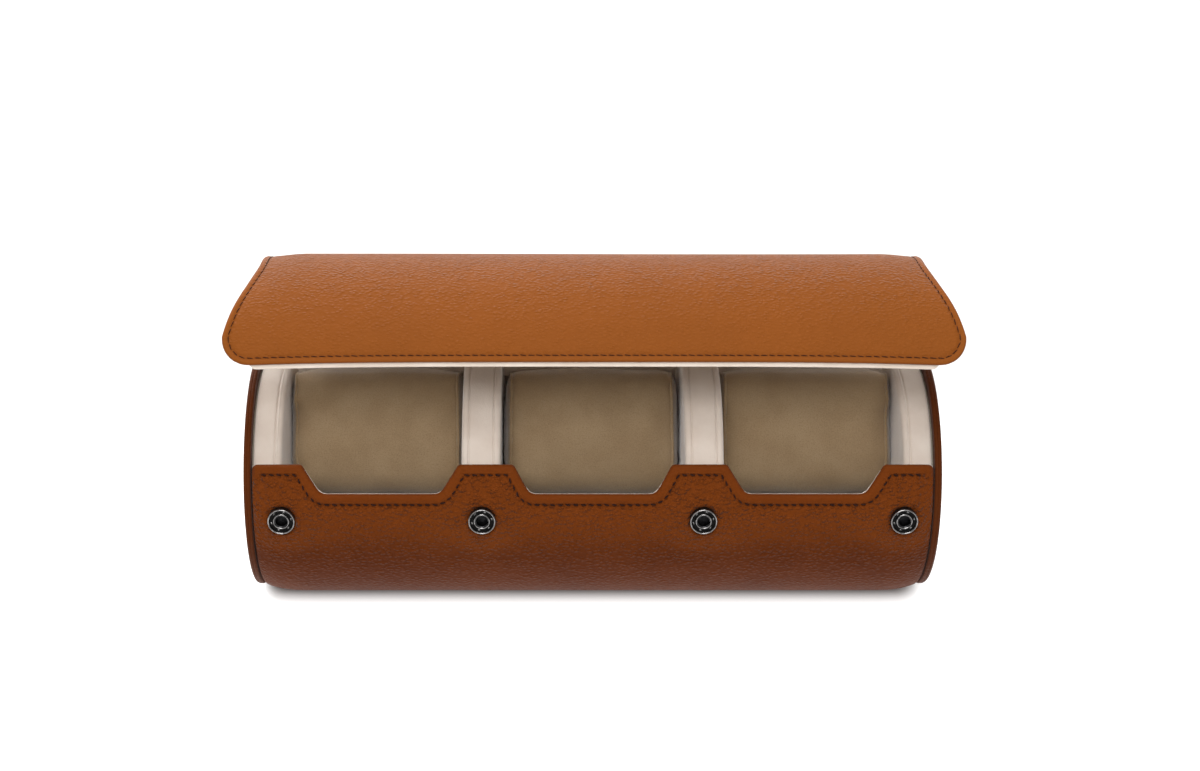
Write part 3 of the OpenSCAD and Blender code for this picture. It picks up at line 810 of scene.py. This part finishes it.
def end_cap(name, side):
    ply = 1.75
    profile = [(-3.2, .0), (-3.25, 20), (-3.2, 36), (-3.15, 39.2), (-2.95, 40.4), (-3.1, 41.2)]
    profile += quarter(-2.0, CAP_R - 1.15, 1.1, 180, 95)
    profile += [(-ply - .16, CAP_R - .03), (-ply - .05, CAP_R - .22),
                (-ply + .05, CAP_R - .22), (-ply + .16, CAP_R - .02)]
    profile += quarter(-1.35, CAP_R - .95, .95, 80, 0)
    profile += [(-.34, 42.2), (-.34, 39.9), (-.6, 39.7)]
    profile = [(-HALF_L + x, r) for x, r in profile]
    if side > 0:
        profile = [(-x, r) for x, r in profile]
    bm = turned([(x, max(r, .02)) for x, r in profile], 144)
    places = coords(bm.verts) * 1000
    inset = CAP_R - np.hypot(places[:, 1], places[:, 2] - AXIS_Z)
    inset -= np.where(np.abs(places[:, 0]) > HALF_L + 2.9, 0, 2)
    note(bm, {"inset": inset / 1000, "ruck": 0 * inset + .1, "grain": 0 * inset + .8})
    for v in bm.verts:
        v.co.z = max(v.co.z, .00004)
    return mesh_piece(name, bm, cap_finish)


for side, word in SIDES:
    cap = end_cap(word + "_cap", side)
    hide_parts(word + "_cap_leather")
    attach(cap, "case")


# End pads and dividers: foam on board under cream suede. A flat strip of the
# suede runs round each rim between two seams, and the face panels roll over
# the edge to meet it.

PAD_R = 40.45
DIVIDER_R = 43.05
DIVIDER_X = 40.5


def seam_pinch(x, r):
    """A narrow sewn crease in a rim at x: the two panels' edges curl down into it."""
    return [(x + a, r + b) for a, b in ((-.75, 0), (-.42, -.10), (-.16, -.42), (0, -.62),
                                        (.16, -.42), (.42, -.08), (.75, .02))]


def soften(bm):
    """Takes the machine evenness off a padded form, by a part of a millimetre."""
    for v in bm.verts:
        x, y, z = (c * 1000 for c in v.co)
        z -= AXIS_Z
        r, a = math.hypot(y, z), math.atan2(z, y)
        lift = .07 * (math.sin(5 * a + x * .08) + .6 * math.sin(11 * a + 1.7 + x * .1))
        lift *= min(1, r / 20)
        if r > 1e-3:
            v.co.y += lift / 1000 * y / r
            v.co.z += lift / 1000 * z / r


pad_finish = suede("pad_suede_finish", (.36, .28, .225, 1), (.575, .485, .415, 1),
                   (.64, .56, .49, 1), lines=.8)


def end_pad(name, side):
    face = 10.35
    profile = [(.2, 37.5), (.2, PAD_R - .5), (.45, PAD_R - .12), (1.0, PAD_R), (3.0, PAD_R + .03),
               (6.6, PAD_R)]
    profile += seam_pinch(7.9, PAD_R)
    profile += [(8.75, PAD_R - .02)] + quarter(face - 1.9, PAD_R - 2.1, 2.0, 78, 8, 8)
    profile += [(face + .1, PAD_R - 4.0), (face + .12, 30), (face + .1, 15), (face + .1, .02)]
    profile = [(side * (HALF_L - x), r) for x, r in profile]
    bm = turned(profile, 120)
    soften(bm)
    return mesh_piece(name, bm, pad_finish)


for side, word in SIDES:
    pad = end_pad(word + "_pad", side)
    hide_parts(word + "_pad_foam", word + "_pad_suede", word + "_pad_strip")
    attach(pad, "case")


def divider(name, side):
    half = [(0, DIVIDER_R + .02), (2.4, DIVIDER_R)]
    half += seam_pinch(4.5, DIVIDER_R)
    half += quarter(7 - 1.75, DIVIDER_R - 1.85, 1.8, 76, 6, 8)
    half += [(6.92, DIVIDER_R - 4), (6.9, 26), (6.88, 12), (6.9, .02)]
    profile = [(-x, r) for x, r in half[:0:-1]] + half
    bm = turned([(x + side * DIVIDER_X, r) for x, r in profile], 120)
    soften(bm)
    for v in bm.verts:
        v.co.z = max(v.co.z, .0035)
    return mesh_piece(name, bm, pad_finish)


for side, word in SIDES:
    wall = divider(word + "_divider", side)
    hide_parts(*(word + "_divider" + part for part in ("_board", "_foam", "_suede", "_strip")))
    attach(wall, "case")


# Cushions: a soft block of foam in beige suede, squeezed between the padded
# walls. The two end panels are sewn in with a narrow piping.

SIDE_X = 80.2
PULL = math.radians(40)
CUSHION_LOW, CUSHION_HIGH, CUSHION_FRONT, CUSHION_BACK = -11.2, 38.6, 19.0, -34.0
CUSHION_R = 42.9


def in_compartment(x, out, across, centre=0.0):
    """A place in the case, from a cushion's own measures: x across the roll, out along the way
    that it is lifted, and across that."""
    return metres(x + centre + 0 * out, -out * math.cos(PULL) + across * math.sin(PULL),
                  out * math.sin(PULL) + across * math.cos(PULL))


beige_finish = suede("beige_suede_finish", (.166, .106, .053, 1), (.296, .2, .106, 1),
                     (.352, .248, .139, 1), nap=1.2)


def relax(loop, rounds):
    """Evens out a closed line."""
    for _ in range(rounds):
        loop = (np.roll(loop, 1, 0) + 2 * loop + np.roll(loop, -1, 0)) / 4
    return loop


def cushion_outline(inset, count):
    """The end panel's outline, flat but for its round front corners, inside the shell's circle."""
    low, high = CUSHION_LOW + inset, CUSHION_HIGH - inset
    front, back, r = CUSHION_FRONT - inset, CUSHION_BACK + inset, 9.0
    spots = []
    for a in np.linspace(-np.pi, np.pi, 721):
        ray = np.array([math.cos(a), math.sin(a)])
        p = (-6.0, 14.0) + np.linspace(0, 60, 601)[:, None] * ray
        ok = (p[:, 0] > back) & (p[:, 0] < front) & (p[:, 1] > low) & (p[:, 1] < high)
        ok &= np.hypot(*p.T) < CUSHION_R - inset
        for cy in (low + r, high - r):
            beyond = (p[:, 0] > front - r) & ((p[:, 1] < cy) if cy < 14 else (p[:, 1] > cy))
            ok &= ~beyond | (np.hypot(p[:, 0] - front + r, p[:, 1] - cy) < r)
        spots.append(p[np.argmin(ok) - 1])
    closed = np.array(spots[:-1] + spots[:1])
    run = run_along(closed)
    return relax(spots_at(closed, run, np.linspace(0, run[-1], count + 1)[:-1]), 3)


def cushion_half(centre):
    """Half width of the compartment that a cushion fills."""
    return 33.3 if centre == 0 else 32.6


def stuffed_block(centre):
    """The sewn cover before it is filled: an outline extruded across the compartment."""
    bm = bmesh.new()
    half = cushion_half(centre)
    outline = in_compartment(-half + 1.2, *cushion_outline(1.3, 72).T, centre)
    end = bm.faces.new([bm.verts.new(p) for p in outline])
    far = bmesh.ops.extrude_face_region(bm, geom=[end], use_keep_orig=True)["geom"]
    bmesh.ops.translate(bm, verts=verts_in(far), vec=((2 * half - 2.4) / 1000, 0, 0))
    close_form(bm)
    return bm


def fill(obj, cap):
    """Blows a cover up with the cloth solver, as its foam fills it, by no more than the cap."""
    before = coords(obj.data.vertices)
    cloth = obj.modifiers.new("cloth", "CLOTH")
    how = cloth.settings
    how.use_pressure, how.uniform_pressure_force = True, 4
    how.effector_weights.gravity = 0
    how.tension_stiffness = how.compression_stiffness = 12
    how.bending_stiffness = .3
    cloth.point_cache.frame_start, cloth.point_cache.frame_end = 1, 20
    for number in range(1, 21):
        scene.frame_set(number)
    move = coords(evaluated(obj).to_mesh().vertices) - before
    obj.modifiers.clear()
    scene.frame_set(1)
    far = np.linalg.norm(move, axis=1, keepdims=True)
    move *= np.minimum(1, cap / np.maximum(far, 1e-9))
    obj.data.vertices.foreach_set("co", (before + move).ravel())


def evaluated(obj):
    return obj.evaluated_get(bpy.context.evaluated_depsgraph_get())


def apply_modifiers(obj):
    """Keeps what the modifiers give and removes them."""
    shaped = bpy.data.meshes.new_from_object(evaluated(obj))
    old, name = obj.data, obj.data.name
    obj.modifiers.clear()
    obj.data = shaped
    bpy.data.meshes.remove(old)
    shaped.name = name


def seat_cushion(obj, centre, phase):
    """Presses a filled cushion against what is round it, and rucks its front a little."""
    x, y, z = coords(obj.data.vertices).T * 1000
    x, z = x - centre, z - AXIS_Z
    out = -y * math.cos(PULL) + z * math.sin(PULL)
    across = y * math.sin(PULL) + z * math.cos(PULL)
    front = ease((out - 4) / 12)
    ruck = .35 * np.sin(x * .23 + phase) + .25 * np.sin(x * .41 + across * .09 + 2 * phase)
    out = out + front * ruck * (1 - ease((np.abs(x) - 22) / 10))
    across = across + .3 * np.sin(x * .17 + phase) * (1 - front)
    x = np.clip(x, -cushion_half(centre), cushion_half(centre))
    across = np.clip(across, CUSHION_LOW, CUSHION_HIGH)
    shrink = np.minimum(1, CUSHION_R / np.maximum(np.hypot(out, across), 1e-6))
    places = in_compartment(x, out * shrink, across * shrink, centre)
    obj.data.vertices.foreach_set("co", places.ravel())


def ring(bm, places):
    """A closed loop of vertices and the edges between them."""
    loop = [bm.verts.new(p) for p in places]
    return loop, [bm.edges.new(pair) for pair in zip(loop, loop[1:] + loop[:1])]


def piping(name, centre, cushion):
    """A thin corded seam round each end panel, seated on the filled cover."""
    bm = bmesh.new()
    outline = cushion_outline(.75, 120)
    cover = BVHTree.FromPolygons([v.co[:] for v in cushion.data.vertices],
                                 [p.vertices[:] for p in cushion.data.polygons])
    for end in (-1, 1):
        x = np.full(len(outline), end * (cushion_half(centre) - 1.05))
        seats = []
        for spot in in_compartment(x, *outline.T, centre):
            near, normal, _, _ = cover.find_nearest(Vector(spot))
            seats.append(near + normal * .00015)
        line = relax(np.array(seats), 4)
        ahead = unit(np.roll(line, -1, 0) - np.roll(line, 1, 0))
        side = unit(np.cross(ahead, (1, 0, 0)))
        up = np.cross(side, ahead)
        rings = [ring(bm, line + .00055 * (side * math.cos(a) + up * math.sin(a)))[1]
                 for a in np.linspace(0, 2 * math.pi, 9)[:-1]]
        for a, b in zip(rings, rings[1:] + rings[:1]):
            bmesh.ops.bridge_loops(bm, edges=a + b)
    close_form(bm)
    return mesh_piece(name, bm, beige_finish)


for centre, word, phase in ((-SIDE_X, "left", .4), (0.0, "middle", 2.1), (SIDE_X, "right", 4.0)):
    cushion = mesh_piece(word + "_cushion", stuffed_block(centre), beige_finish)
    remesh = cushion.modifiers.new("even", "REMESH")
    remesh.mode, remesh.voxel_size = "VOXEL", .0036
    apply_modifiers(cushion)
    fill(cushion, .0030)
    seat_cushion(cushion, centre, phase)
    smooth = cushion.modifiers.new("smooth", "SUBSURF")
    smooth.levels = smooth.render_levels = 1
    apply_modifiers(cushion)
    cushion.data.shade_smooth()
    body = word + "_cushion"
    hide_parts(word + "_cushion_foam", word + "_cushion_cover")
    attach(cushion, body)
    cord = piping(word + "_cushion_piping", centre, cushion)
    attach(cord, body)


# Snap fasteners: blackened brass, turned and pressed. The socket's rim is
# rolled and crimped at six places, and a ring round the bore hides the spring.


def rubbed_metal(name, rough, dark, bright):
    """Metal whose black finish is rubbed through in places."""
    made, shader, place = new_finish(name, rough, Metallic=1.0)
    rub = noise(place, 900, 4)
    colour = tint(ramp(rub, .35, .7), dark, bright)
    wear(shader, Base_Color=colour)
    return made, shader, rub, colour


def dress(finish, *nodes):
    """Gives solids that stay as they are their finish."""
    for node in nodes:
        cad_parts[node].data.materials.clear()
        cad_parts[node].data.materials.append(finish)


gun_finish, shader, rub, bright = rubbed_metal("gunmetal_finish", .24, (.20, .195, .195, 1),
                                               (.38, .37, .365, 1))
# painted light on the sockets: near-black in the channels and bores, painted shade; bright on the rims,
# crimps and inner rings, partly where the black is rubbed through and partly a painted highlight
polish_and_painted_shade = attribute(rub, "polish_and_painted_shade")
wear(shader, Base_Color=tint(polish_and_painted_shade, (.012, .0115, .0115, 1), bright),
     Roughness=ramp(polish_and_painted_shade, .0, .9, .45, .20))

SNAP_ANGLE = math.radians(162)
SEAT_R = 45.5


def on_snap(x, r, h, a):
    """A spot of a snap: r from its own axis, h above its seat, at an angle round it."""
    side, fore = r * np.cos(a), r * np.sin(a)
    out = SEAT_R + h
    return metres(x + side, out * math.cos(SNAP_ANGLE) - fore * math.sin(SNAP_ANGLE),
                  out * math.sin(SNAP_ANGLE) + fore * math.cos(SNAP_ANGLE))


def socket_rims():
    """The turned sockets: their channels and bores are near-black, painted shade, and what stands out is
    bright, partly rubbed through and partly a painted highlight.
    """
    bm = bmesh.new()
    # each ring of the profile: radius, height, and how bright its finish is, 0 for the painted shade in the
    # channel and bore
    rim = [(4.9, -.35, .1), (4.92, .9, .2), (4.90, 1.75, .5)]
    rim += [(*p, 1) for p in polar(np.linspace(.3, math.pi - .3, 7), .26, (4.64, 2.0))]
    rim += [(4.36, 1.9, .1), (4.34, 1.5, 0), (4.28, 1.36, 0), (4.1, 1.33, 0), (3.9, 1.32, 0),
            (3.7, 1.32, 0), (3.5, 1.32, 0), (3.3, 1.33, 0), (3.1, 1.36, 0), (3.0, 1.5, 0),
            (2.98, 1.7, 0)]
    rim += [(*p, .9) for p in polar(np.linspace(.2, math.pi - .4, 8), .26, (2.70, 1.80))]
    rim += [(2.40, 1.80, .1), (2.34, 1.6, 0), (2.31, 1.3, 0), (2.30, .6, 0), (2.30, -1.0, 0)]
    a = np.linspace(0, 2 * np.pi, 121)[:-1]
    layer = bm.verts.layers.float.new("polish_and_painted_shade")
    for x in SNAP_X:
        loops = []
        for r, h, polish_and_painted_shade in rim:
            past = (a - .3) % (math.pi / 3) - math.pi / 6
            crimp = np.exp(-(past * r / .32) ** 2) * math.exp(-((r - 3.7) / .24) ** 2) * (h < 1.45)
            verts, edges = ring(bm, on_snap(x, r, h + .45 * crimp, a))
            for v, c in zip(verts, crimp):
                v[layer] = max(polish_and_painted_shade, min(1, 1.5 * c))
            loops.append(edges)
        for outer, inner in zip(loops[:-1], loops[1:]):
            bmesh.ops.bridge_loops(bm, edges=outer + inner)
    close_form(bm)
    out = Vector((0, math.cos(SNAP_ANGLE), math.sin(SNAP_ANGLE)))
    top = max(bm.faces, key=lambda f: f.calc_center_median().dot(out))
    if top.normal.dot(out) < 0:
        bmesh.ops.reverse_faces(bm, faces=bm.faces)
    return mesh_piece("socket_rims", bm, gun_finish)


rims = socket_rims()
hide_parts("snap_sockets")
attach(rims, "case")

# painted shade: the springs and posts down in the bores get near-black finishes, so that the bores look dark
dark_spring_shade_finish, shader, place = new_finish("spring_painted_shade_finish", .28, Metallic=1.0)
wear(shader, Base_Color=tint(noise(place, 1500, 3), (.030, .030, .032, 1), (.075, .075, .078, 1)))
dress(dark_spring_shade_finish, "snap_springs")
dress(rubbed_metal("post_painted_shade_finish", .5, (.012, .012, .013, 1), (.03, .03, .032, 1))[0],
      "socket_posts")
stud_finish, shader, rub, _ = rubbed_metal("dark_stud_finish", .24, (.10, .10, .105, 1),
                                           (.20, .20, .20, 1))
wear(shader, Roughness=ramp(rub, .3, .75, .18, .36))
dress(stud_finish, "snap_studs", "stud_posts")


# Boards: grey board that stiffens the wall, the lid and the caps. Leather and
# suede cover it, and only a cut edge can be seen here and there.

board_finish, shader, place = new_finish("grey_board_finish", .85)
fibre = noise(place, 1400, 5)
wear(shader, Base_Color=tint(fibre, (.16, .13, .10, 1), (.30, .26, .21, 1)),
     Normal=bump(fibre, .5, .0001))
dress(board_finish, "shell_board", "lid_board", "left_cap_board", "right_cap_board")


# Studio: a white table and backdrop, a broad soft light from above and behind,
# and the camera.

scene.view_settings.view_transform = "Standard"

floor_finish, shader, place = new_finish("white_table_finish", .9)
# the table glows, a painted glow that starts a few millimetres out from the case's footprint and is
# strongest close to it, brightening away the case's cast shadow; farther off it glows more weakly again
flat = spread(place, "SeparateXYZ", {"Vector": place}).outputs
beside, before = (sums("SUBTRACT", sums("ABSOLUTE", flat[k]), reach)
                  for k, reach in (("X", .118), ("Y", .017)))
beside, before = sums("MAXIMUM", beside, 0.0), sums("MAXIMUM", before, 0.0)
clear = sums("SQRT", sums("MULTIPLY_ADD", beside, beside, times(before, before)))
painted_glow_over_shadow = times(ramp(clear, .0030, .0135, 0, .85), ramp(clear, .025, .11, 1, .25))
wear(shader, Base_Color=(.60, .597, .594, 1), Specular_IOR_Level=.1,
     Emission_Color=(1, .995, .99, 1),
     Emission_Strength=sums("ADD", painted_glow_over_shadow, ramp(clear, .15, .8, 0, .45)))
bm = bmesh.new()
bmesh.ops.create_grid(bm, x_segments=1, y_segments=1, size=8)
floor = mesh_piece("white_table", bm, floor_finish, flat=True)

world = bpy.data.worlds.new("studio")
scene.world = world
world.use_nodes = True
sky = world.node_tree.nodes["Background"]
up = spread(sky, "SeparateXYZ", {0: spread(sky, "TexCoord").outputs["Generated"]}).outputs
behind = times(ramp(up["Y"], .2, .8), ramp(up["Z"], .7, .0, 0, 1.5))
wear(sky, Color=(1, .99, .975, 1),
     Strength=sums("ADD", behind, ramp(up["Z"], .05, .95, .22, .78)))


def stand(name, data, place, turn):
    """Puts a lamp or the camera in the studio."""
    holder = bpy.data.objects.new(name, data)
    holder.location, holder.rotation_euler = place, turn
    scene.collection.objects.link(holder)
    return holder


def soft_light(name, place, size, power):
    """A broad lamp that looks at the middle of the case."""
    lamp = bpy.data.lights.new(name, "AREA")
    lamp.shape = "RECTANGLE"
    lamp.size, lamp.size_y = size
    lamp.energy = power
    aim = Vector((0, 0, .05)) - Vector(place)
    stand(name, lamp, place, aim.to_track_quat("-Z", "Y").to_euler())


soft_light("overhead", (-.03, -.02, 1.3), (.8, .5), 7.5)
soft_light("back_softbox", (-.35, .85, .62), (.7, .4), 8)
soft_light("front_softbox", (-.11, -.68, 1.02), (.6, .4), 6.9)

camera = bpy.data.cameras.new("camera")
camera.lens = 63.17
camera.sensor_width = 36
camera.shift_x = .0383
scene.camera = stand("camera", camera, (-.014, -.5964, .5856), (math.radians(50), 0, 0))
